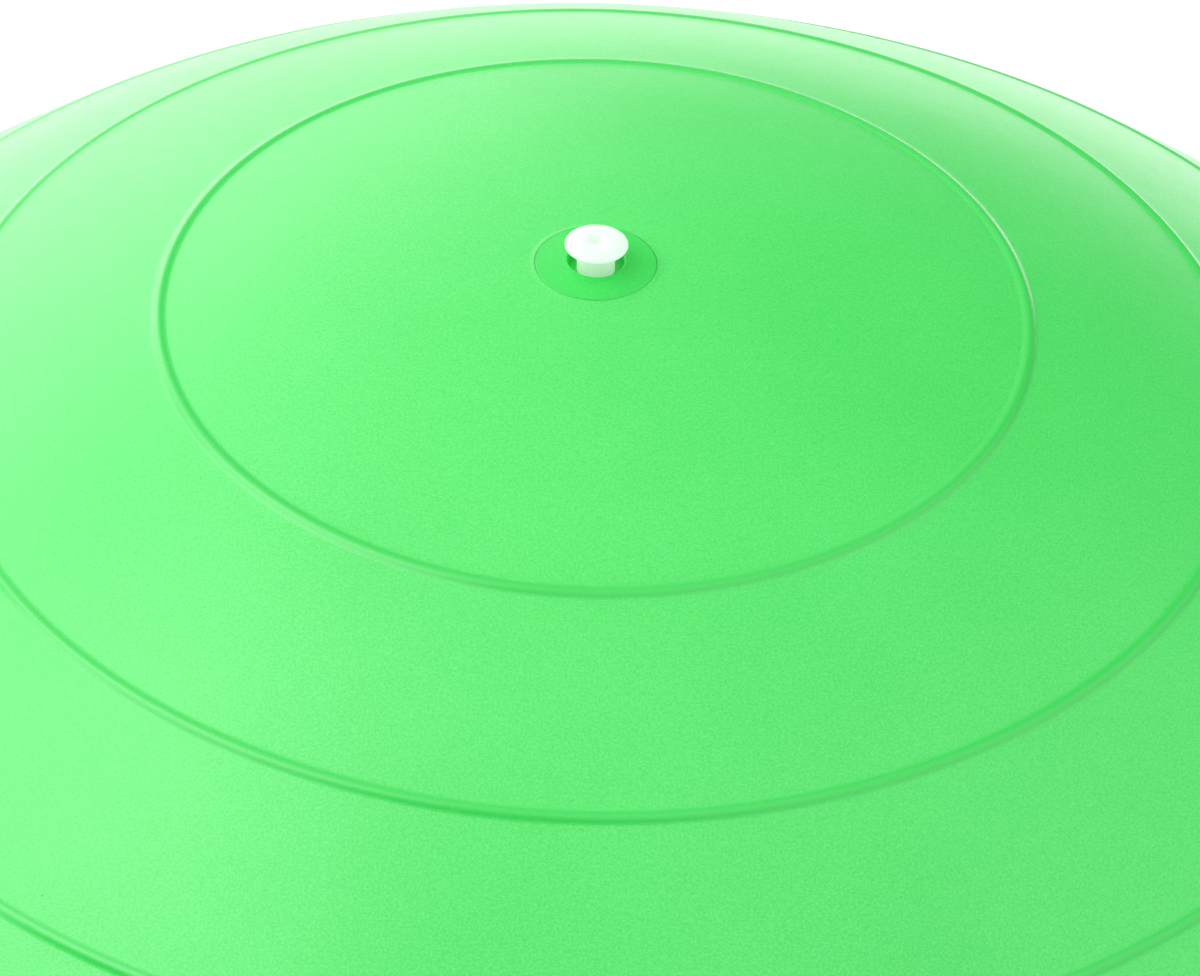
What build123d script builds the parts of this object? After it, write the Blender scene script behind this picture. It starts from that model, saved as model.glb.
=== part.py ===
from build123d import *
import math
import os

# Dome balance trainer (balance pad): an inflated PVC dome held by its bead on a round rigid platform.
# Millimetres. Origin: centre of the plane the feet stand on. +Z up, +X through the right hand grip.

# ---- driving dimensions -------------------------------------------------------------------------
BASE_R = 318.0            # platform radius
FOOT_STAND = 4.0          # height of the platform's underside above the floor
WALL = 3.0                # moulded wall of the platform parts
WEB = 2.4                 # thickness of their stiffening webs
EDGE_R = 10.0             # rounding of the tray's lower edge
DECK_TOP_Z = 37.0         # plane the bladder's flat floor rests on
BEAD_HEIGHT = 8.0         # thickness of the bead round the bladder's edge
RING_HEIGHT = 14.0
RING_SHOULDER = 6.0       # slope of the clamp ring's outer and inner shoulders
CLEAR = 0.2               # gap left between neighbouring parts

DOME_R = 325.0            # outer radius of the inflated sphere
APEX_Z = 224.0            # top of the dome
SKIN = 2.5                # wall of the bladder
FIRST_RIB = 17.9          # degrees from the pole
RIB_STEP = 9.85           # degrees from one rib to the next
RIBS = 5
RIB_WIDTH = 5.0
RIB_HEIGHT = 1.2

VALVE_R = 14.0            # disc of the valve socket
LIP_RISE = 0.9            # the socket's lip above the crown of the dome
LIP_WIDTH = 0.8
COUNTERBORE_R = 6.45
COUNTERBORE_DEPTH = 2.5
TUBE_R = 8.0
TUBE_LENGTH = 17.0
BORE_R = 4.4
FLANGE_WIDTH = 6.0        # collar that holds the insert inside the bladder
FLANGE_THICK = 1.5

PLUG_HEAD_R = 7.25
PLUG_HEAD_HEIGHT = 2.2
PLUG_FLARE = 1.6          # the head's underside sweeps this far down the shank
PLUG_RIM = 0.6            # thickness of the head's rim
DIMPLE_R = 2.6
DIMPLE_DEPTH = 0.7
PLUG_SHANK_R = 4.35
PLUG_HOLLOW_R = 2.2
PLUG_LENGTH = 16.0        # shank below the head
PLUG_LIFT = 3.4           # the plug stands this far out of its seat at rest
SEAL_STEP = 2.4           # from one sealing ring of the shank to the next
SEAL_DEPTH = 0.5
SEALS = 3

CLAMP_SCREWS = 12
DECK_SCREW_CIRCLE_R = 170.0
DECK_SCREWS = 6
SHANK_R = 1.65            # shank of both kinds of screw
PILOT_R = 1.7
THROUGH_R = 2.3
WELL_DEPTH = 12.0         # roof of a clamp screw's well below the joint
WELL_R = 4.75
PAN_HEAD_R = 4.0
PAN_HEAD_HEIGHT = 3.0
SINK_HEAD_R = 4.4
SINK_HEAD_HEIGHT = 2.4

TRAY_RINGS = (70.0, 135.0, 205.0)
TRAY_WEBS = 12
TREADS = 12               # shallow raised rings on the underside
TREAD_FIRST_R = 40.0
TREAD_STEP = 14.0
TREAD_WIDTH = 3.0
TREAD_DEPTH = 0.8
FOOT_CIRCLE_R = 262.0
FEET = 8
FOOT_R = 14.0
FOOT_STEM_R = 4.0
FOOT_RECESS = 1.0         # depth of the seat that takes the foot's disc

GRIP_HALF_ANGLE = 10.5    # each hand grip spans twice this about the X axis
GRIP_BAR = 36.0           # width of the bar between the finger pocket and the outer wall
POCKET_WIDTH = 38.0
POCKET_TOP_Z = 28.0
POCKET_EDGE_R = 4.0       # rounding between bar and pocket
GRIP_SKIN = 2.5
FINGER_GROOVES = 9
FINGER_STEP = 2.2         # degrees from groove to groove
FINGER_WIDTH = 0.5        # degrees
FINGER_DEPTH = 0.8

# ---- worked out from them -----------------------------------------------------------------------
SPHERE_Z = APEX_Z - DOME_R
DECK_R = BASE_R - 21      # edge of the deck and of the bladder's bead
SCREW_CIRCLE_R = DECK_R + 9
BEAD_TOP_Z = DECK_TOP_Z + BEAD_HEIGHT
JOINT_Z = DECK_TOP_Z + 4  # plane where the clamp ring meets the tray
GRIP_IN_R = BASE_R - GRIP_BAR
POCKET_IN_R = GRIP_IN_R - POCKET_WIDTH
FLOOR_TOP_Z = FOOT_STAND + WALL
DECK_BOTTOM_Z = DECK_TOP_Z - WALL
SUPPORT_Z = DECK_BOTTOM_Z - CLEAR
WELL_ROOF_Z = JOINT_Z - WELL_DEPTH
LIP_Z = APEX_Z + LIP_RISE
INNER_R = DOME_R - SKIN
CAVITY_FLOOR_Z = DECK_TOP_Z + SKIN
RING_TOP_Z = JOINT_Z + RING_HEIGHT
RIB_ANGLES = [FIRST_RIB + RIB_STEP * i for i in range(RIBS)]

STANDING = (Align.CENTER, Align.CENTER, Align.MIN)   # solids built upwards from their origin
HANGING = (Align.CENTER, Align.CENTER, Align.MAX)


def on_sphere(radius, height):
    """Distance from the axis of a sphere of this radius at this height."""
    return math.sqrt(radius**2 - (height - SPHERE_Z) ** 2)


def sphere_height(radius, reach):
    """Height of a sphere of this radius at this distance from the axis."""
    return SPHERE_Z + math.sqrt(radius**2 - reach**2)


def lathe(face, degrees=360.0, start=0.0):
    """Turns a profile drawn in the XZ plane about the Z axis."""
    return revolve(Rot(0, 0, start) * face, Axis.Z, degrees)


def profile(*points):
    """A straight-sided profile in the XZ plane from (radius, height) points."""
    return make_face(Polyline(*[(r, 0, z) for r, z in points], close=True))


def band(r0, r1, z0, z1):
    """A rectangular profile in the XZ plane."""
    return profile((r0, z0), (r1, z0), (r1, z1), (r0, z1))


def rod(radius, z0, z1, x=0.0, y=0.0):
    """An upright cylinder between two heights."""
    return Pos(x, y, z0) * Cylinder(radius, z1 - z0, align=STANDING)


def around(count, radius, phase):
    """Centres of count things spread evenly round a circle, with phase in steps."""
    steps = [math.radians(360.0 * (i + phase) / count) for i in range(count)]
    return [(radius * math.cos(a), radius * math.sin(a)) for a in steps]


def round_lower_edge(face, z, radius):
    """Rounds the outermost corner of a profile at height z."""
    corners = [v for v in face.vertices() if abs(v.Z - z) < 1e-6]
    return fillet(max(corners, key=lambda v: v.X), radius)


CLAMP_POINTS = around(CLAMP_SCREWS, SCREW_CIRCLE_R, 0.5)
DECK_POINTS = around(DECK_SCREWS, DECK_SCREW_CIRCLE_R, 0.5)
FOOT_POINTS = around(FEET, FOOT_CIRCLE_R, 0.5)


# ---- inflated dome ------------------------------------------------------------------------------
def rib(angle):
    """One raised rib: a half-oval bead lying on the sphere at this angle from the pole."""
    a = math.radians(angle)
    centre = Plane(
        origin=(DOME_R * math.sin(a), 0, SPHERE_Z + DOME_R * math.cos(a)),
        x_dir=(math.cos(a), 0, -math.sin(a)),
        z_dir=(0, -1, 0),
    )
    return lathe(centre * Ellipse(RIB_WIDTH / 2, RIB_HEIGHT))


def dome_bladder():
    """Closed PVC bag: ribbed spherical crown, flat floor and a thick bead round the edge."""
    mouth_z = sphere_height(DOME_R, VALVE_R + CLEAR)
    ball = Pos(0, 0, SPHERE_Z) * Sphere(DOME_R)
    bag = ball & rod(DOME_R, DECK_TOP_Z, APEX_Z + SKIN)
    bag += rod(DECK_R, DECK_TOP_Z, BEAD_TOP_Z)
    for angle in RIB_ANGLES:
        bag += rib(angle)
    cavity = Pos(0, 0, SPHERE_Z) * Sphere(INNER_R)
    above_floor = rod(DOME_R, CAVITY_FLOOR_Z, APEX_Z + SKIN)
    bag -= cavity & above_floor
    return bag - rod(VALVE_R + CLEAR, mouth_z - 4 * SKIN, APEX_Z + SKIN)


def valve_socket():
    """Thick round insert in the crown: disc, raised lip, counterbore and a tube hanging inside."""
    rim_z = sphere_height(DOME_R, VALVE_R)
    flange_r = VALVE_R + FLANGE_WIDTH
    flange_top = sphere_height(INNER_R, flange_r) - CLEAR
    neck_r = TUBE_R + FLANGE_THICK
    tube_end = LIP_Z - TUBE_LENGTH
    return lathe(profile(
        (BORE_R, LIP_Z - COUNTERBORE_DEPTH),
        (COUNTERBORE_R, LIP_Z - COUNTERBORE_DEPTH),
        (COUNTERBORE_R, LIP_Z),
        (COUNTERBORE_R + LIP_WIDTH, LIP_Z),
        (VALVE_R, rim_z),
        (VALVE_R, flange_top),
        (flange_r, flange_top),
        (flange_r, flange_top - FLANGE_THICK),
        (neck_r, flange_top - 2 * FLANGE_THICK),
        (TUBE_R, tube_end),
        (BORE_R, tube_end),
    ))


def valve_plug():
    """Stopper standing partly out of the socket: flared head with a dimple, shank with sealing rings."""
    under = LIP_Z + PLUG_LIFT
    crown = under + PLUG_HEAD_HEIGHT
    rim_low = (PLUG_HEAD_R, 0, under + PLUG_RIM)
    rim_high = (PLUG_HEAD_R, 0, under + 2 * PLUG_RIM)
    root = (PLUG_SHANK_R, 0, under - PLUG_FLARE)
    bend = math.sqrt(0.5)
    sweep = (PLUG_HEAD_R - (PLUG_HEAD_R - PLUG_SHANK_R) * bend, 0,
             root[2] + (rim_low[2] - root[2]) * bend)
    flat_r = PLUG_HEAD_R / 2
    tip = under - PLUG_LENGTH
    plug = lathe(make_face(Wire([
        *Polyline((0, 0, crown), (0, 0, tip), (PLUG_SHANK_R, 0, tip), root).edges(),
        *ThreePointArc(root, sweep, rim_low).edges(),
        *Polyline(rim_low, rim_high, (flat_r, 0, crown), (0, 0, crown)).edges(),
    ])))
    dimple_ball_r = (DIMPLE_R**2 + DIMPLE_DEPTH**2) / (2 * DIMPLE_DEPTH)
    plug -= Pos(0, 0, crown - DIMPLE_DEPTH + dimple_ball_r) * Sphere(dimple_ball_r)
    for i in range(SEALS):
        low = tip + (i + 0.6) * SEAL_STEP
        plug -= lathe(band(PLUG_SHANK_R - SEAL_DEPTH, PLUG_HEAD_R, low, low + SEAL_STEP / 2))
    return plug - rod(PLUG_HOLLOW_R, tip, under - PLUG_LENGTH / 2)


# ---- platform -----------------------------------------------------------------------------------
def clamp_ring():
    """Upper rim of the platform: bears down on the bead and is screwed up from below."""
    lip_z = RING_TOP_Z - WALL
    gap = 2 * CLEAR
    inner_top = on_sphere(DOME_R, lip_z) + gap
    inner_low = on_sphere(DOME_R, BEAD_TOP_Z) + gap
    section = profile(
        (BASE_R, JOINT_Z), (BASE_R, RING_TOP_Z - RING_SHOULDER), (BASE_R - RING_SHOULDER, RING_TOP_Z),
        (inner_top + RING_SHOULDER, RING_TOP_Z), (inner_top, lip_z), (inner_low, BEAD_TOP_Z + CLEAR),
        (DECK_R + CLEAR, BEAD_TOP_Z + CLEAR), (DECK_R + CLEAR, JOINT_Z),
    )
    shoulder = [v for v in section.vertices() if v.X > BASE_R - RING_SHOULDER - 1 and v.Z > JOINT_Z + 1]
    ring = lathe(fillet(shoulder, WALL))
    roof = RING_TOP_Z - RING_SHOULDER
    ring -= lathe(band(DECK_R + WALL, BASE_R - WALL, JOINT_Z, roof))
    boss_height = roof + 1 - JOINT_Z
    for x, y in CLAMP_POINTS:
        ring += rod(PILOT_R + WALL, JOINT_Z, JOINT_Z + boss_height, x, y)
    web = Box(BASE_R - DECK_R - WALL, WEB, boss_height, align=STANDING)
    webs = 3 * CLAMP_SCREWS
    for i in range(webs):
        ring += Rot(0, 0, 360.0 * i / webs) * Pos((DECK_R + BASE_R) / 2, 0, JOINT_Z) * web
    for x, y in CLAMP_POINTS:
        ring -= rod(PILOT_R, JOINT_Z, roof, x, y)
    return ring


def deck_plate():
    """Flat disc that carries the bladder's floor, with countersunk screws down to the tray."""
    top = DECK_TOP_Z - CLEAR
    deck = rod(DECK_R, DECK_BOTTOM_Z, top)
    for x, y in DECK_POINTS:
        deck -= rod(THROUGH_R, DECK_BOTTOM_Z, top, x, y)
        sink = Cone(THROUGH_R, SINK_HEAD_R + 2 * CLEAR, SINK_HEAD_HEIGHT, align=HANGING)
        deck -= Pos(x, y, top) * sink
    return deck


def bar_fill(inset, top):
    """Section of the bar between pocket and rim, with its sides pulled in by inset."""
    face = band(GRIP_IN_R + inset, BASE_R - inset, FOOT_STAND + inset, top)
    low = sorted((v for v in face.vertices() if v.Z < FOOT_STAND + inset + 1e-6), key=lambda v: v.X)
    face = fillet(low[1], EDGE_R - inset)
    low = sorted((v for v in face.vertices() if v.Z < FOOT_STAND + inset + 1e-6), key=lambda v: v.X)
    return fillet(low[0], max(POCKET_EDGE_R - inset, CLEAR))


def bar_skin(outer, inner, top, half_angle):
    """U-shaped skin of the bar between two insets, over an angle each side of +X."""
    return lathe(bar_fill(outer, top) - bar_fill(inner, top + 1), 2 * half_angle, -half_angle)


def hand_grip():
    """Soft cover wrapped round the bar, flush with the tray."""
    grip = bar_skin(0, GRIP_SKIN, POCKET_TOP_Z - WALL, GRIP_HALF_ANGLE)
    top = POCKET_TOP_Z - WALL - EDGE_R / 2
    ring = bar_fill(-1, top) - bar_fill(FINGER_DEPTH, top + 1)
    for i in range(FINGER_GROOVES):
        grip -= lathe(ring, FINGER_WIDTH, FINGER_STEP * (i - (FINGER_GROOVES - 1) / 2))
    return grip


def grip_side(tray):
    """Adds the finger pocket and the recess for the soft cover on the +X side."""
    wide = GRIP_HALF_ANGLE + math.degrees(3 * WALL / BASE_R)
    seat = GRIP_SKIN + CLEAR / 2
    block = band(POCKET_IN_R - WALL, GRIP_IN_R + seat + WALL, FOOT_STAND, POCKET_TOP_Z + WALL)
    tray += lathe(block, 2 * wide, -wide)
    under_deck = rod(DECK_R + WALL, SUPPORT_Z, JOINT_Z + 1)
    tray += bar_skin(seat, seat + WALL, JOINT_Z, wide) - under_deck
    pocket = band(POCKET_IN_R, GRIP_IN_R, FOOT_STAND - 1, POCKET_TOP_Z)
    tray -= lathe(pocket, 2 * GRIP_HALF_ANGLE, -GRIP_HALF_ANGLE)
    recess = bar_fill(-1, POCKET_TOP_Z - WALL + CLEAR / 2) - bar_fill(seat, JOINT_Z)
    cut = GRIP_HALF_ANGLE + math.degrees(CLEAR / 2 / BASE_R)
    return tray - lathe(recess, 2 * cut, -cut)


def tread(radius):
    """A shallow bevelled ring standing out of the underside."""
    low, high = FOOT_STAND - TREAD_DEPTH, FOOT_STAND + TREAD_DEPTH
    return lathe(profile((radius, low), (radius + TREAD_WIDTH, low),
                         (radius + TREAD_WIDTH + TREAD_DEPTH, high), (radius - TREAD_DEPTH, high)))


def base_tray():
    """Underside pan of the platform: outer wall, webs, screw wells, finger pockets and foot seats."""
    shell = round_lower_edge(band(0, BASE_R, FOOT_STAND, JOINT_Z), FOOT_STAND, EDGE_R)
    hollow = round_lower_edge(band(0, BASE_R - WALL, FLOOR_TOP_Z, JOINT_Z + 1), FLOOR_TOP_Z, EDGE_R - WALL)
    tray = lathe(shell - hollow)
    root = FLOOR_TOP_Z - 1
    for radius in (*TRAY_RINGS, DECK_R - 2 * WALL):
        tray += lathe(band(radius - WALL / 2, radius + WALL / 2, root, SUPPORT_Z))
    hub_r = TRAY_RINGS[0]
    web = Box(DECK_R - 2 * WALL - hub_r, WEB, SUPPORT_Z - root, align=(Align.MIN, Align.CENTER, Align.MIN))
    for i in range(TRAY_WEBS):
        tray += Rot(0, 0, 360.0 * (i + 0.5) / TRAY_WEBS) * Pos(hub_r, 0, root) * web
    for x, y in DECK_POINTS:
        tray += rod(PILOT_R + WALL, root, SUPPORT_Z, x, y)
    for x, y in CLAMP_POINTS:
        tray += rod(WELL_R + WEB, root, JOINT_Z, x, y)
    for x, y in FOOT_POINTS:
        tray += rod(FOOT_STEM_R + WALL, root, FLOOR_TOP_Z + 2 * WALL, x, y)
    tray = grip_side(tray)
    tray = Rot(0, 0, 180) * grip_side(Rot(0, 0, 180) * tray)
    for x, y in DECK_POINTS:
        tray -= rod(PILOT_R, SUPPORT_Z - WELL_DEPTH, SUPPORT_Z, x, y)
    for x, y in CLAMP_POINTS:
        tray -= rod(WELL_R, 0, WELL_ROOF_Z, x, y)
        tray -= rod(THROUGH_R, 0, JOINT_Z + 1, x, y)
    for x, y in FOOT_POINTS:
        tray -= rod(FOOT_R + CLEAR, 0, FOOT_STAND + FOOT_RECESS, x, y)
        tray -= rod(FOOT_STEM_R + CLEAR, 0, FLOOR_TOP_Z + WALL + CLEAR, x, y)
    for i in range(TREADS):
        tray += tread(TREAD_FIRST_R + TREAD_STEP * i)
    return tray


def foot(x, y):
    """Rubber foot: grooved disc with a stem pushed into the tray."""
    pad = fillet(rod(FOOT_R, 0, FOOT_STAND + FOOT_RECESS).edges().group_by(Axis.Z)[0], FOOT_RECESS)
    groove_r = FOOT_R * 0.65
    pad -= lathe(band(groove_r, groove_r + 1.5, -1, 1))
    pad += rod(FOOT_STEM_R, FOOT_STAND, FLOOR_TOP_Z + WALL)
    return Pos(x, y, 0) * pad


def cross_slot(depth, reach):
    """Cross-shaped driver recess going down from z = 0."""
    width = reach / 4
    return Box(reach, width, depth, align=HANGING) + Box(width, reach, depth, align=HANGING)


def clamp_screw():
    """Pan-head screw driven upwards: head under the well's roof, shank into the clamp ring."""
    head_top = WELL_ROOF_Z - CLEAR / 4
    head_low = head_top - PAN_HEAD_HEIGHT
    head = rod(PAN_HEAD_R, head_low, head_top)
    head = fillet(head.edges().group_by(Axis.Z)[0], PAN_HEAD_HEIGHT / 2)
    screw = head + rod(SHANK_R, head_low + 1, RING_TOP_Z - RING_SHOULDER - 1)
    return screw - Pos(0, 0, head_low) * Rot(180, 0, 0) * cross_slot(0.6 * PAN_HEAD_HEIGHT, PAN_HEAD_R)


def deck_screw():
    """Countersunk screw driven down through the deck into the tray."""
    top = DECK_TOP_Z - 1.5 * CLEAR
    head = Pos(0, 0, top) * Cone(SHANK_R, SINK_HEAD_R, SINK_HEAD_HEIGHT, align=HANGING)
    screw = head + rod(SHANK_R, SUPPORT_Z - WELL_DEPTH + 1, top - 1)
    return screw - Pos(0, 0, top) * cross_slot(0.6 * SINK_HEAD_HEIGHT, SINK_HEAD_R)


def copies(shape, points):
    """The same shape at each point, as one group of separate solids."""
    return Compound(children=[Pos(x, y, 0) * shape for x, y in points])


def main():
    os.makedirs("parts", exist_ok=True)
    grip = hand_grip()
    parts = {
        "dome_bladder": dome_bladder(),
        "valve_socket": valve_socket(),
        "valve_plug": valve_plug(),
        "clamp_ring": clamp_ring(),
        "deck_plate": deck_plate(),
        "base_tray": base_tray(),
        "grip_right": grip,
        "grip_left": Rot(0, 0, 180) * grip,
        "clamp_screws": copies(clamp_screw(), CLAMP_POINTS),
        "deck_screws": copies(deck_screw(), DECK_POINTS),
    }
    for number, (x, y) in enumerate(FOOT_POINTS, start=1):
        parts[f"foot_{number}"] = foot(x, y)
    for name, shape in parts.items():
        export_step(shape, f"parts/{name}.step")


main()
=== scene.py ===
"""Balance pad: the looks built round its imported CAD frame. Metres, +Z up, the row frame's own origin."""
import math

import bpy
import numpy as np
from mathutils import Matrix, Vector


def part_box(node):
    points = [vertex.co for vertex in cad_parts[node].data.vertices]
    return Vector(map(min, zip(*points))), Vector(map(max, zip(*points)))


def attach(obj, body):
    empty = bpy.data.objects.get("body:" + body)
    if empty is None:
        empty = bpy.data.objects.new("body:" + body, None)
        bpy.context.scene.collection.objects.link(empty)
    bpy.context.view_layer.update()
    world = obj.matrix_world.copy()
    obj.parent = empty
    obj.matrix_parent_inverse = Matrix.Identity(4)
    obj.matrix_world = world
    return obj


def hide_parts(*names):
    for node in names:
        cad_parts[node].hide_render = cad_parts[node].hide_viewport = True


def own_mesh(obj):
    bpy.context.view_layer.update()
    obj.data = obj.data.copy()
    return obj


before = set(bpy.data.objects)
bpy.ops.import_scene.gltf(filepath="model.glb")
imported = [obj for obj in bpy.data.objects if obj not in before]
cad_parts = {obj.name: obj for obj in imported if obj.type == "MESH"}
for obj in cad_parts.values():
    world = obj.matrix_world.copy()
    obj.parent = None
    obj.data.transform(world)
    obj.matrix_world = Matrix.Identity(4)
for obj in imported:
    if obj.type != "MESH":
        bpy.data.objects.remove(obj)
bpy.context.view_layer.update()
MM = 0.001

# ---- driving dimensions -------------------------------------------------------------------------
SEGMENTS = 512                    # facets round each turned piece
SHARP_EDGE = 40                   # degrees: steeper edges than this are shaded sharp
PLAIN_ROWS = 110                  # rows of facets from the valve to the bead
RIB_ROWS = 25                     # across each rib
SKIRT_ROWS = 12
INNER_ROWS = 90                   # up the inner wall
DISC_ROWS = 60                    # across the turned face of the disc

# dome
DOME_R = 325 * MM                 # sphere the dome is blown to
SKIN = 2.5 * MM                   # wall of the bladder
BEAD_HEIGHT = 8 * MM              # thick edge that the clamp ring holds
BEAD_ROUND = 1.5 * MM
FIRST_RIB = 17.9                  # degrees from the pole
RIB_STEP = 9.85                   # degrees
RIB_COUNT = 5
RIB_HALF_WIDTH = 2.3 * MM
RIB_HEIGHT = 0.62 * MM
BACK_SAG = 3.2 * MM               # the back of the dome lies this much flatter than the sphere
SAG_BEARING = 112                 # degrees from +X
SAG_DEEPEST = 40                  # degrees from the pole
SLOW_WAVES = ((2, 1, 0.4, 0.35), (3, 2, 1.9, 0.22), (5, 3, 2.7, 0.12), (7, 5, 0.9, 0.07))
# each: waves round the axis, half waves from pole to bead, phase in radians, height in millimetres

# valve insert
VALVE_R = 14 * MM                 # its disc, flush in the dome's skin
SOCKET_GAP = 0.05 * MM            # seam round the disc
SKIRT_WIDTH = 1.4 * MM            # the dome swells softly along the seam over this width
SKIRT_RISE = 0.12 * MM
DISC_RISE = 0.12 * MM             # the disc's edge above the skirt
DISC_ROUND = 0.3 * MM
FACE_DROP = 0.1 * MM              # the disc's turned face starts this far below the lip
MARK_DEPTH = 0.012 * MM           # turning marks on that face
MARK_PITCH = 0.55 * MM
LIP_RISE = 0.9 * MM               # lip of the counterbore above the dome's apex
LIP_WIDTH = 1.0 * MM
LIP_ROUND = 0.4 * MM
COUNTERBORE_R = 6.45 * MM
COUNTERBORE_DEPTH = 2.5 * MM
BORE_R = 4.4 * MM
FLANGE_WIDTH = 6 * MM             # welded under the skin, beyond the disc
FLANGE_THICK = 1.5 * MM
CONE_HEIGHT = 1.5 * MM            # the flange narrows to the tube over this height
CONE_R = 9.5 * MM
TUBE_R = 8 * MM

# plug
SHANK_R = 4.35 * MM
RIM_ROUND = 0.3 * MM
RIM_DROP = 1.3 * MM               # rim below the top of the head
CREST_R = 3.4 * MM                # circle where the head is highest
DIMPLE_R = 2.6 * MM
DIMPLE_DEPTH = 1.1 * MM
FLARE_DROP = 3.8 * MM             # foot of the flare below the top of the head
SEAL_COUNT = 3                    # grooves between sealing rings
SEAL_PITCH = 2.4 * MM
FIRST_SEAL = 1.5 * MM             # lowest groove above the plug's end
SEAL_DEPTH = 0.5 * MM
SEAL_WIDTH = 1.3 * MM
SEAL_SLOPE = (0.2 * MM, 0.3 * MM)  # height of a groove's lower and upper slope
END_CHAMFER = 0.4 * MM
HOLLOW_R = 2.2 * MM
HOLLOW_DEPTH = 8 * MM

# camera
CAMERA_ELEVATION = 37.2           # degrees above the apex's level
CAMERA_DISTANCE = 2.216
CAMERA_LENS = 291.2
CAMERA_ROLL = 1.74                # degrees
CAMERA_TILT = (-1.331, -0.024)    # degrees about its own X and Y

# light
ROOM = 0.33                       # brightness of the plain white room
SOFT_LIGHTS = ((182, 46, 40, 1.7), (180, 64, 60, 0.6), (122, 9, 38, 1.4), (140, 38, 60, 0.5),
               (345, 42, 60, 0.95), (182, 4, 24, 2.2))
# each: bearing from +X and height above the horizon of its middle, half width (degrees), strength

# ---- what the frame gives -----------------------------------------------------------------------
socket_low, socket_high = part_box("valve_socket")
plug_low, plug_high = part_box("valve_plug")
bag_low, bag_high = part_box("dome_bladder")
floor_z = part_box("foot_1")[0].z

LIP_Z = socket_high.z
APEX_Z = LIP_Z - LIP_RISE
SPHERE_Z = APEX_Z - DOME_R
BEAD_TOP_Z = bag_low.z + BEAD_HEIGHT
BEAD_R = bag_high.x
HOLE_R = VALVE_R + SOCKET_GAP
EDGE_ANGLE = math.asin(BEAD_R / DOME_R)
RIB_ANGLES = np.radians([FIRST_RIB + RIB_STEP * i for i in range(RIB_COUNT)])


# ---- mesh helpers -------------------------------------------------------------------------------
def sphere_height(radius, reach):
    """Height of a sphere about the dome's centre, at this distance from the axis."""
    return SPHERE_Z + math.sqrt(radius**2 - reach**2)


def arc(centre_r, centre_z, radius, start, stop, steps=6):
    """Profile points on an arc, angles in degrees from +R towards +Z."""
    angles = np.radians(np.linspace(start, stop, steps + 1))
    return [(centre_r + radius * math.cos(a), centre_z + radius * math.sin(a)) for a in angles]


def lathe(name, profile, closed, wave=None):
    """Turns (radius, height) points about Z. A profile that isn't closed starts and ends on the axis."""
    points = np.array(profile, float)
    turn = np.linspace(0, 2 * math.pi, SEGMENTS, endpoint=False)
    body = points if closed else points[1:-1]
    rows = len(body)
    radius = np.repeat(body[:, :1], SEGMENTS, axis=1)
    height = np.repeat(body[:, 1:], SEGMENTS, axis=1)
    if wave is not None:
        outwards, upwards = wave(radius, height, turn[None, :])
        radius = radius + outwards
        height = height + upwards
    grid = np.stack([radius * np.cos(turn), radius * np.sin(turn), height], axis=-1)
    verts = [tuple(v) for v in grid.reshape(-1, 3)]
    row = np.arange(rows if closed else rows - 1)[:, None]
    col = np.arange(SEGMENTS)[None, :]
    after = (col + 1) % SEGMENTS
    below = (row + 1) % rows
    quads = np.stack([row * SEGMENTS + col, row * SEGMENTS + after,
                      below * SEGMENTS + after, below * SEGMENTS + col], axis=-1)
    faces = [tuple(q) for q in quads.reshape(-1, 4)]
    if not closed:
        first, last = len(verts), len(verts) + 1
        verts += [(0, 0, points[0][1]), (0, 0, points[-1][1])]
        for i in range(SEGMENTS):
            j = (i + 1) % SEGMENTS
            faces.append((first, j, i))
            faces.append((last, (rows - 1) * SEGMENTS + i, (rows - 1) * SEGMENTS + j))
    mesh = bpy.data.meshes.new(name)
    mesh.from_pydata(verts, [], faces)
    mesh.shade_smooth()
    mesh.set_sharp_from_angle(angle=math.radians(SHARP_EDGE))
    piece = bpy.data.objects.new(name, mesh)
    bpy.context.scene.collection.objects.link(piece)
    return piece


def dress(piece, material):
    """Gives every face of a piece this material."""
    piece.data.materials.clear()
    piece.data.materials.append(material)


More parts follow.
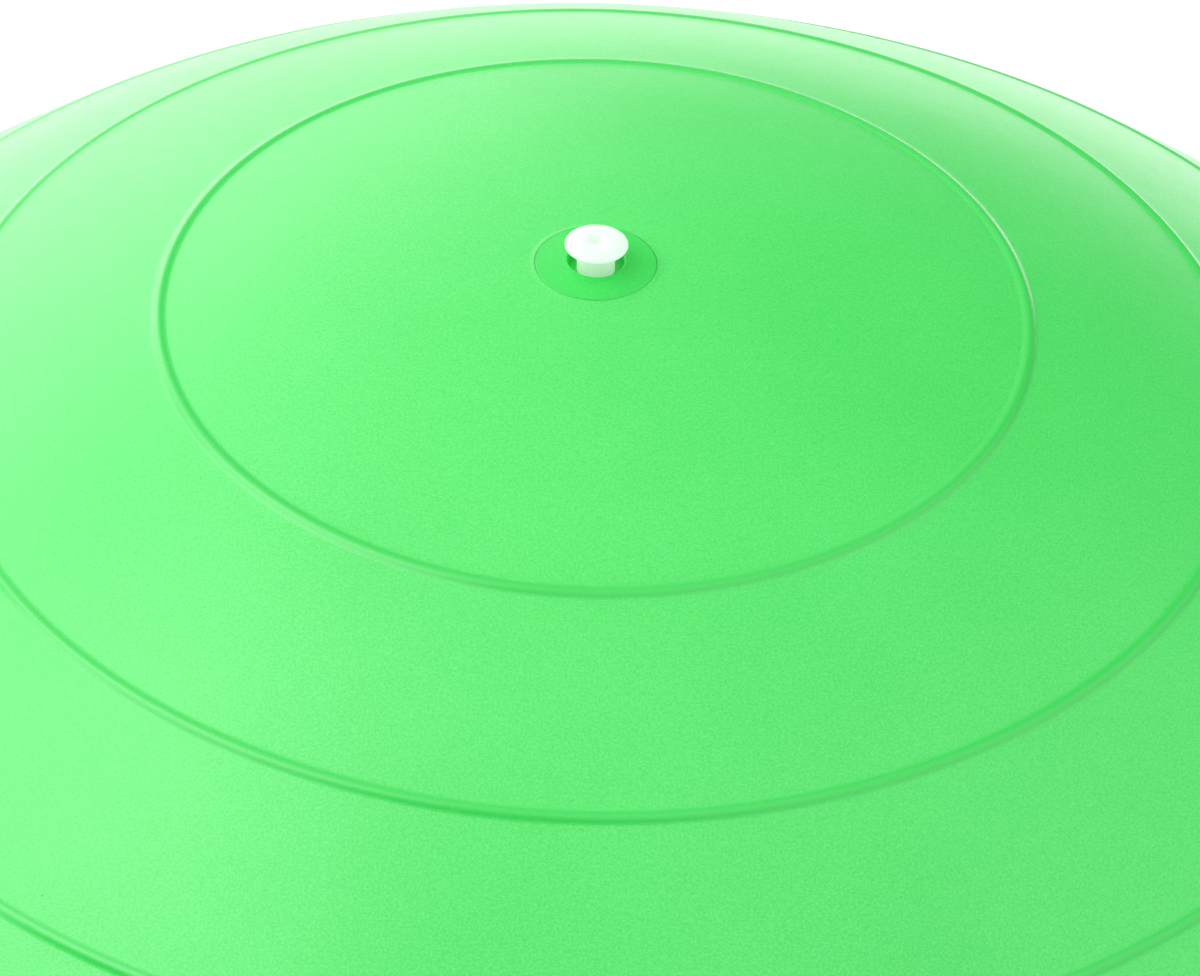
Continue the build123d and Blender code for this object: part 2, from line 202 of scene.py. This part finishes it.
# ---- material helpers ---------------------------------------------------------------------------
class Graph:
    """A material's node tree with short ways to add nodes and join them."""

    def __init__(self, name):
        self.material = bpy.data.materials.new(name)
        self.material.use_nodes = True
        self.tree = self.material.node_tree
        self.shader = self.tree.nodes["Principled BSDF"]
        self.place = self.add("ShaderNodeTexCoord").outputs["Object"]

    def add(self, kind, inputs=None, **settings):
        node = self.tree.nodes.new(kind)
        for key, value in settings.items():
            setattr(node, key, value)
        for key, value in (inputs or {}).items():
            self.feed(node, key, value)
        return node

    def feed(self, node, key, value):
        if isinstance(value, bpy.types.NodeSocket):
            self.tree.links.new(value, node.inputs[key])
        else:
            node.inputs[key].default_value = value

    def surface(self, **values):
        for key, value in values.items():
            self.feed(self.shader, key.replace("_", " "), value)

    def noise(self, size, detail=2.0, roughness=0.5):
        """Noise with features about this size in metres."""
        node = self.add("ShaderNodeTexNoise", {"Vector": self.place, "Scale": 1 / size, "Detail": detail,
                                               "Roughness": roughness})
        return node.outputs["Fac"]

    def cells(self, size):
        """Voronoi cells of about this size: distance to the cell's centre and a random colour."""
        node = self.add("ShaderNodeTexVoronoi", {"Vector": self.place, "Scale": 1 / size})
        return node.outputs["Distance"], node.outputs["Color"]

    def math(self, operation, first, second=0.0):
        return self.add("ShaderNodeMath", {0: first, 1: second}, operation=operation).outputs[0]

    def remap(self, value, low, high, to_low, to_high, smooth=False):
        kind = "SMOOTHSTEP" if smooth else "LINEAR"
        ends = {"From Min": low, "From Max": high, "To Min": to_low, "To Max": to_high}
        node = self.add("ShaderNodeMapRange", {"Value": value, **ends}, interpolation_type=kind)
        return node.outputs["Result"]

    def mix(self, factor, first, second):
        """Blends two colours. Inputs 6 and 7 are the node's colour inputs, and output 2 its colour."""
        first, second = ((*c, 1) if isinstance(c, tuple) else c for c in (first, second))
        node = self.add("ShaderNodeMix", {0: factor, 6: first, 7: second}, data_type="RGBA")
        return node.outputs[2]

    def bump(self, height, depth, normal=None):
        """Surface relief of this depth in metres."""
        inputs = {"Height": height, "Distance": depth, "Strength": 1.0}
        if normal is not None:
            inputs["Normal"] = normal
        return self.add("ShaderNodeBump", inputs).outputs["Normal"]


def specks(graph, size, share, radius):
    """1 inside sparse round specks of this radius, scattered one to a cell, in this share of cells."""
    distance, colour = graph.cells(size)
    pick = graph.math("LESS_THAN", graph.add("ShaderNodeSeparateColor", {0: colour}).outputs[0], share)
    near = graph.remap(distance, radius / size, 0.6 * radius / size, 0.0, 1.0, smooth=True)
    return graph.math("MULTIPLY", pick, near)


# ---- materials ----------------------------------------------------------------------------------
MIDDLE = (0.3, 0.7)               # where most values of a noise lie


def pvc_green(name, deep, pale, gloss, glow):
    """Satin soft PVC: fine grain and faint clouding between two greens, sparse dark and pale specks.

    The ribs come from a polished groove of the mould, so they are glossier; their deeper green is painted
    shade for the dark lines along the ribs.
    """
    dark_speck = (0.01, 0.2, 0.02)
    pale_speck = (0.3, 0.85, 0.4)
    # painted shade: deep green that darkens the ribs into dark lines
    rib_shade_green = (0.008, 0.58, 0.055)
    graph = Graph(name)
    grain = graph.remap(graph.noise(0.5 * MM, detail=1), *MIDDLE, 0.0, 0.75)
    cloud = graph.remap(graph.noise(60 * MM, detail=3), *MIDDLE, 0.0, 0.25)
    colour = graph.mix(graph.math("ADD", grain, cloud), deep, pale)
    colour = graph.mix(specks(graph, 20 * MM, 0.14, 0.26 * MM), colour, dark_speck)
    colour = graph.mix(specks(graph, 17 * MM, 0.15, 0.22 * MM), colour, pale_speck)
    rib = graph.add("ShaderNodeAttribute", attribute_name="rib").outputs["Fac"]
    # painted shade along the ribs, by how much each vertex belongs to a rib
    colour = graph.mix(graph.math("MULTIPLY", rib, 0.8), colour, rib_shade_green)
    rough = graph.remap(graph.noise(4 * MM, detail=4), *MIDDLE, 0.36, 0.44)
    rough = graph.math("SUBTRACT", rough, graph.math("MULTIPLY", rib, 0.16))
    normal = graph.bump(graph.noise(0.9 * MM, detail=3, roughness=0.6), 0.03 * MM)
    normal = graph.bump(graph.noise(30 * MM, detail=2), 0.22 * MM, normal)
    graph.surface(Base_Color=colour, Roughness=rough, Normal=normal, IOR=1.5)
    graph.surface(Coat_Weight=gloss, Coat_Roughness=graph.remap(rib, 0, 1, 0.3, 0.16), Coat_Normal=normal)
    graph.surface(Subsurface_Weight=glow, Subsurface_Scale=3 * MM, Subsurface_Radius=(0.05, 1.0, 0.15))
    return graph.material


def polyethylene_white():
    """Milky translucent stopper plastic; its pale green tint is painted green light from the dome round it,
    and a faint painted glow stands for the light that passes through it.
    """
    graph = Graph("polyethylene_white")
    # painted green light: the plug's colour tinted towards the dome's green
    colour = graph.mix(graph.noise(4 * MM), (0.50, 0.66, 0.52), (0.54, 0.70, 0.56))
    normal = graph.bump(graph.noise(1.2 * MM, detail=2), 0.02 * MM)
    graph.surface(Base_Color=colour, Roughness=0.32, Normal=normal, IOR=1.5)
    graph.surface(Subsurface_Weight=1.0, Subsurface_Scale=6 * MM, Subsurface_Radius=(0.8, 1.0, 0.8))
    # painted glow: pale green emission stands for light passing through the plug
    graph.surface(Emission_Color=(0.76, 1.0, 0.81, 1), Emission_Strength=0.35)
    return graph.material


def moulded_black():
    """Hard black platform plastic with a fine spark-eroded grain and light handling scuffs."""
    graph = Graph("moulded_black")
    distance, _ = graph.cells(1.1 * MM)
    grain = graph.math("ADD", distance, graph.noise(0.5 * MM, detail=2))
    scuff = graph.remap(graph.noise(20 * MM, detail=6, roughness=0.7), 0.58, 0.75, 0.0, 0.35, smooth=True)
    colour = graph.mix(scuff, (0.011, 0.0115, 0.0125), (0.04, 0.04, 0.041))
    rough = graph.remap(graph.noise(10 * MM, detail=4), *MIDDLE, 0.42, 0.55)
    normal = graph.bump(grain, 0.05 * MM)
    graph.surface(Base_Color=colour, Roughness=rough, Normal=normal, IOR=1.48)
    return graph.material


def soft_rubber(name, base, dust):
    """Matt rubber with a pale bloom in patches."""
    graph = Graph(name)
    patch = graph.remap(graph.noise(15 * MM, detail=5, roughness=0.65), 0.45, 0.75, 0.0, 0.5, smooth=True)
    colour = graph.mix(patch, base, dust)
    normal = graph.bump(graph.noise(0.6 * MM, detail=3), 0.06 * MM)
    graph.surface(Base_Color=colour, Roughness=0.72, Normal=normal)
    return graph.material


def zinc_steel():
    """Bright zinc plate with a slightly mottled spangle."""
    graph = Graph("zinc_steel")
    _, spangle = graph.cells(0.6 * MM)
    tone = graph.add("ShaderNodeSeparateColor", {0: spangle}).outputs[0]
    colour = graph.mix(tone, (0.55, 0.55, 0.53), (0.68, 0.68, 0.65))
    graph.surface(Base_Color=colour, Metallic=1.0, Roughness=graph.remap(tone, 0, 1, 0.28, 0.4))
    return graph.material


# ---- dome ---------------------------------------------------------------------------------------
def rib_height(theta):
    """How far the ribs stand proud of the skin at this angle from the pole."""
    proud = np.zeros_like(theta)
    for angle in RIB_ANGLES:
        across = (theta - angle) * DOME_R / RIB_HALF_WIDTH
        proud += np.where(abs(across) < 1, RIB_HEIGHT * np.cos(across * math.pi / 2) ** 2, 0)
    return proud


def dome_relief(theta):
    """How far the skin stands proud of the sphere at this angle from the pole."""
    from_valve = np.clip((theta * DOME_R - VALVE_R) / SKIRT_WIDTH, 0, 1)
    return rib_height(theta) + SKIRT_RISE * (1 - from_valve) ** 2 * (1 + 2 * from_valve)


def mark_ribs(dome):
    """Stores for every vertex how much it belongs to a rib, for the material's painted rib shade and rib
    gloss.
    """
    where = np.empty(len(dome.data.vertices) * 3)
    dome.data.vertices.foreach_get("co", where)
    x, y, z = where.reshape(-1, 3).T
    theta = np.arctan2(np.hypot(x, y), z - SPHERE_Z)
    share = np.clip(2 * rib_height(theta) / RIB_HEIGHT, 0, 1)
    dome.data.attributes.new("rib", "FLOAT", "POINT").data.foreach_set("value", share)


def dome_waves(radius, height, turn):
    """Slight unevenness of a blown skin: a few slow waves, and a back that lies a little flatter."""
    theta = np.arctan2(radius, height - SPHERE_Z)
    above_bead = height > BEAD_TOP_Z
    fade = np.clip(np.sin(np.clip(theta / EDGE_ANGLE, 0, 1) * math.pi), 0, 1) * above_bead
    swell = np.zeros(theta.shape)
    for order, rings, phase, size in SLOW_WAVES:
        along = np.cos(rings * math.pi * theta / EDGE_ANGLE)
        swell = swell + size * MM * np.cos(order * turn + phase) * along
    towards_back = np.clip(np.cos(turn - math.radians(SAG_BEARING)), 0, 1) ** 2
    down_slope = np.interp(theta, (RIB_ANGLES[0], math.radians(SAG_DEEPEST), EDGE_ANGLE), (0, 1, 0)) ** 2
    swell = swell * fade - BACK_SAG * down_slope * towards_back * above_bead
    return swell * np.sin(theta), swell * np.cos(theta)


def dome_angles():
    """Angles from the valve to the bead: coarse on plain skin, fine across the ribs and the skirt."""
    start = math.asin(HOLE_R / DOME_R)
    stop = math.acos((BEAD_TOP_Z - SPHERE_Z) / DOME_R)
    rib = RIB_HALF_WIDTH / DOME_R
    spans = [np.linspace(start, stop, PLAIN_ROWS)]
    spans += [np.linspace(start, start + SKIRT_WIDTH / DOME_R, SKIRT_ROWS)]
    spans += [np.linspace(a - rib, a + rib, RIB_ROWS) for a in RIB_ANGLES]
    return np.unique(np.round(np.concatenate(spans), 6))


def make_dome():
    """The bladder as one closed skin: flat floor, bead, ribbed dome, valve hole and inner wall."""
    theta = dome_angles()[::-1]
    reach = DOME_R + dome_relief(theta)
    outer = list(zip(reach * np.sin(theta), SPHERE_Z + reach * np.cos(theta)))
    inner_floor = bag_low.z + SKIN
    inner_r = DOME_R - SKIN
    inner_start = math.asin(HOLE_R / inner_r)
    inner_stop = math.acos((inner_floor - SPHERE_Z) / inner_r)
    inner = np.linspace(inner_start, inner_stop, INNER_ROWS)
    profile = [(0, bag_low.z)]
    profile += arc(BEAD_R - BEAD_ROUND, bag_low.z + BEAD_ROUND, BEAD_ROUND, -90, 0)
    profile += arc(BEAD_R - BEAD_ROUND, BEAD_TOP_Z - BEAD_ROUND, BEAD_ROUND, 0, 90)
    profile += outer
    profile += [(inner_r * math.sin(a), SPHERE_Z + inner_r * math.cos(a)) for a in inner]
    profile += [(0, inner_floor)]
    dome = lathe("dome_skin", profile, closed=False, wave=dome_waves)
    dress(dome, pvc_green("pvc_green", (0.014, 0.61, 0.064), (0.066, 0.73, 0.124), gloss=0.8, glow=0.08))
    mark_ribs(dome)
    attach(dome, "crown")
    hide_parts("dome_bladder")
    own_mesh(dome)


# ---- valve --------------------------------------------------------------------------------------
def make_socket():
    """Green insert: disc with turned face, rounded lip, counterbore, bore, tube and inner flange."""
    edge_z = sphere_height(DOME_R, VALVE_R) + SKIRT_RISE + DISC_RISE
    counterbore_z = LIP_Z - COUNTERBORE_DEPTH
    face_r = np.linspace(COUNTERBORE_R + LIP_WIDTH, VALVE_R - DISC_ROUND, DISC_ROWS)
    face_z = np.linspace(LIP_Z - FACE_DROP, edge_z, DISC_ROWS)
    marks = MARK_DEPTH * np.cos(2 * math.pi * (face_r - face_r[0]) / MARK_PITCH)
    flange_r = VALVE_R + FLANGE_WIDTH
    flange_z = sphere_height(DOME_R - SKIN, flange_r) - SOCKET_GAP
    profile = [(BORE_R, counterbore_z)]
    profile += arc(COUNTERBORE_R - DISC_ROUND, counterbore_z + DISC_ROUND, DISC_ROUND, -90, 0)
    profile += arc(COUNTERBORE_R + LIP_ROUND, LIP_Z - LIP_ROUND, LIP_ROUND, 180, 80, 8)
    profile += list(zip(face_r, face_z + marks))
    profile += arc(VALVE_R - DISC_ROUND, edge_z - DISC_ROUND, DISC_ROUND, 90, 0)
    profile += [(VALVE_R, flange_z), (flange_r, flange_z), (flange_r, flange_z - FLANGE_THICK),
                (CONE_R, flange_z - FLANGE_THICK - CONE_HEIGHT), (TUBE_R, socket_low.z),
                (BORE_R, socket_low.z)]
    socket = lathe("valve_insert", profile, closed=True)
    dress(socket, pvc_green("pvc_insert", (0.010, 0.60, 0.064), (0.034, 0.68, 0.090), gloss=0.15, glow=0.5))
    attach(socket, "crown")
    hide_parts("valve_socket")


def plug_head():
    """Profile of the plug's head from the axis out: dimple, crest, sloping top, rim and flare."""
    head_r = plug_high.x
    top_z = plug_high.z
    rim_z = top_z - RIM_DROP
    crown_fall = RIM_DROP - RIM_ROUND
    slope_width = head_r - RIM_ROUND - CREST_R
    flare_low = top_z - FLARE_DROP
    flare_high = rim_z - RIM_ROUND
    flare_width = head_r - SHANK_R
    profile = [(r, top_z - DIMPLE_DEPTH * math.cos(math.pi / 2 * min(r / DIMPLE_R, 1)) ** 2)
               for r in np.linspace(0, CREST_R, 14)]
    profile += [(CREST_R + slope_width * t, top_z - crown_fall * t**2) for t in np.linspace(0.08, 1, 12)]
    profile += arc(head_r - RIM_ROUND, rim_z, RIM_ROUND, 70, -80, 8)
    profile += [(head_r - flare_width * math.sin(a), flare_low + (flare_high - flare_low) * math.cos(a))
                for a in np.radians(np.linspace(12, 90, 14))]
    return profile


def make_plug():
    """White stopper: thin-rimmed flared head with a dimple, shank with sealing rings, hollow end."""
    profile = plug_head()
    for step in reversed(range(SEAL_COUNT)):
        low = plug_low.z + FIRST_SEAL + SEAL_PITCH * step
        high = low + SEAL_WIDTH
        profile += [(SHANK_R, high), (SHANK_R - SEAL_DEPTH, high - SEAL_SLOPE[1]),
                    (SHANK_R - SEAL_DEPTH, low + SEAL_SLOPE[0]), (SHANK_R, low)]
    hollow_z = plug_low.z + HOLLOW_DEPTH
    profile += [(SHANK_R, plug_low.z + END_CHAMFER), (SHANK_R - END_CHAMFER, plug_low.z),
                (HOLLOW_R, plug_low.z), (HOLLOW_R, hollow_z), (0, hollow_z)]
    plug = lathe("stopper_plug", profile[::-1], closed=False)
    dress(plug, polyethylene_white())
    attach(plug, "plug")
    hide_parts("valve_plug")


# ---- platform: the CAD parts keep their shape and get finished materials ------------------------
def finish_platform():
    black = moulded_black()
    grip = soft_rubber("grip_rubber", (0.075, 0.078, 0.082), (0.14, 0.14, 0.145))
    foot = soft_rubber("foot_rubber", (0.03, 0.03, 0.032), (0.10, 0.10, 0.10))
    steel = zinc_steel()
    finishes = {"clamp_ring": black, "deck_plate": black, "base_tray": black, "grip_right": grip,
                "grip_left": grip, "clamp_screws": steel, "deck_screws": steel}
    for name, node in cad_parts.items():
        if name.startswith("foot_"):
            dress(node, foot)
        elif name in finishes:
            dress(node, finishes[name])


# ---- stage --------------------------------------------------------------------------------------
def make_floor():
    """Plain pale floor that reads white under the studio light."""
    side = 30.0
    corners = [(-side, -side, floor_z), (side, -side, floor_z),
               (side, side, floor_z), (-side, side, floor_z)]
    mesh = bpy.data.meshes.new("floor")
    mesh.from_pydata(corners, [], [(0, 1, 2, 3)])
    floor = bpy.data.objects.new("floor", mesh)
    bpy.context.scene.collection.objects.link(floor)
    graph = Graph("floor_white")
    graph.surface(Base_Color=(0.86, 0.86, 0.86, 1), Roughness=0.6)
    graph.surface(Emission_Color=(1, 1, 1, 1), Emission_Strength=0.28)
    dress(floor, graph.material)


def studio_light():
    """A bright even room with soft rounded lights, the strongest to the left and low at the back."""
    world = bpy.data.worlds.new("studio")
    bpy.context.scene.world = world
    world.use_nodes = True
    tree = world.node_tree
    tree.nodes.clear()

    def add(kind, inputs=None, **settings):
        node = tree.nodes.new(kind)
        for key, value in settings.items():
            setattr(node, key, value)
        for key, value in (inputs or {}).items():
            if isinstance(value, bpy.types.NodeSocket):
                tree.links.new(value, node.inputs[key])
            else:
                node.inputs[key].default_value = value
        return node

    direction = add("ShaderNodeTexCoord").outputs["Generated"]
    total = add("ShaderNodeValue").outputs[0]
    total.default_value = ROOM
    for bearing, height, spread, strength in SOFT_LIGHTS:
        level = Vector((math.cos(math.radians(height)), 0, math.sin(math.radians(height))))
        towards = Matrix.Rotation(math.radians(bearing), 3, "Z") @ level
        facing = add("ShaderNodeVectorMath", {0: direction, 1: towards}, operation="DOT_PRODUCT")
        rim = math.cos(math.radians(spread))
        ends = {"From Min": rim, "From Max": 1.0, "To Min": 0.0, "To Max": strength}
        lobe = add("ShaderNodeMapRange", {"Value": facing.outputs["Value"], **ends},
                   interpolation_type="SMOOTHSTEP")
        total = add("ShaderNodeMath", {0: total, 1: lobe.outputs["Result"]}, operation="ADD").outputs[0]
    seen = add("ShaderNodeLightPath").outputs["Is Camera Ray"]
    room = add("ShaderNodeBackground", {"Color": (1, 1, 1, 1), "Strength": total})
    white = add("ShaderNodeBackground", {"Color": (1, 1, 1, 1), "Strength": 1.0})
    both = add("ShaderNodeMixShader", {0: seen, 1: room.outputs[0], 2: white.outputs[0]})
    add("ShaderNodeOutputWorld", {"Surface": both.outputs[0]})


def make_camera():
    """Long lens looking down on the crown, turned and tilted a little off the valve."""
    data = bpy.data.cameras.new("camera")
    data.sensor_width = 36.0
    data.lens = CAMERA_LENS
    data.clip_end = 100
    camera = bpy.data.objects.new("camera", data)
    bpy.context.scene.collection.objects.link(camera)
    elevation = math.radians(CAMERA_ELEVATION)
    away = Vector((0, -math.cos(elevation), math.sin(elevation)))
    place = Vector((0, 0, APEX_Z)) + away * CAMERA_DISTANCE
    aim = (-away).to_track_quat("-Z", "Y").to_matrix().to_4x4()
    roll = Matrix.Rotation(math.radians(CAMERA_ROLL), 4, "Z")
    tilt_x, tilt_y = (Matrix.Rotation(math.radians(t), 4, axis) for t, axis in zip(CAMERA_TILT, "XY"))
    camera.matrix_world = Matrix.Translation(place) @ aim @ roll @ tilt_x @ tilt_y
    bpy.context.scene.camera = camera


make_dome()
make_socket()
make_plug()
finish_platform()
make_floor()
studio_light()
make_camera()
bpy.context.scene.view_settings.view_transform = "Standard"
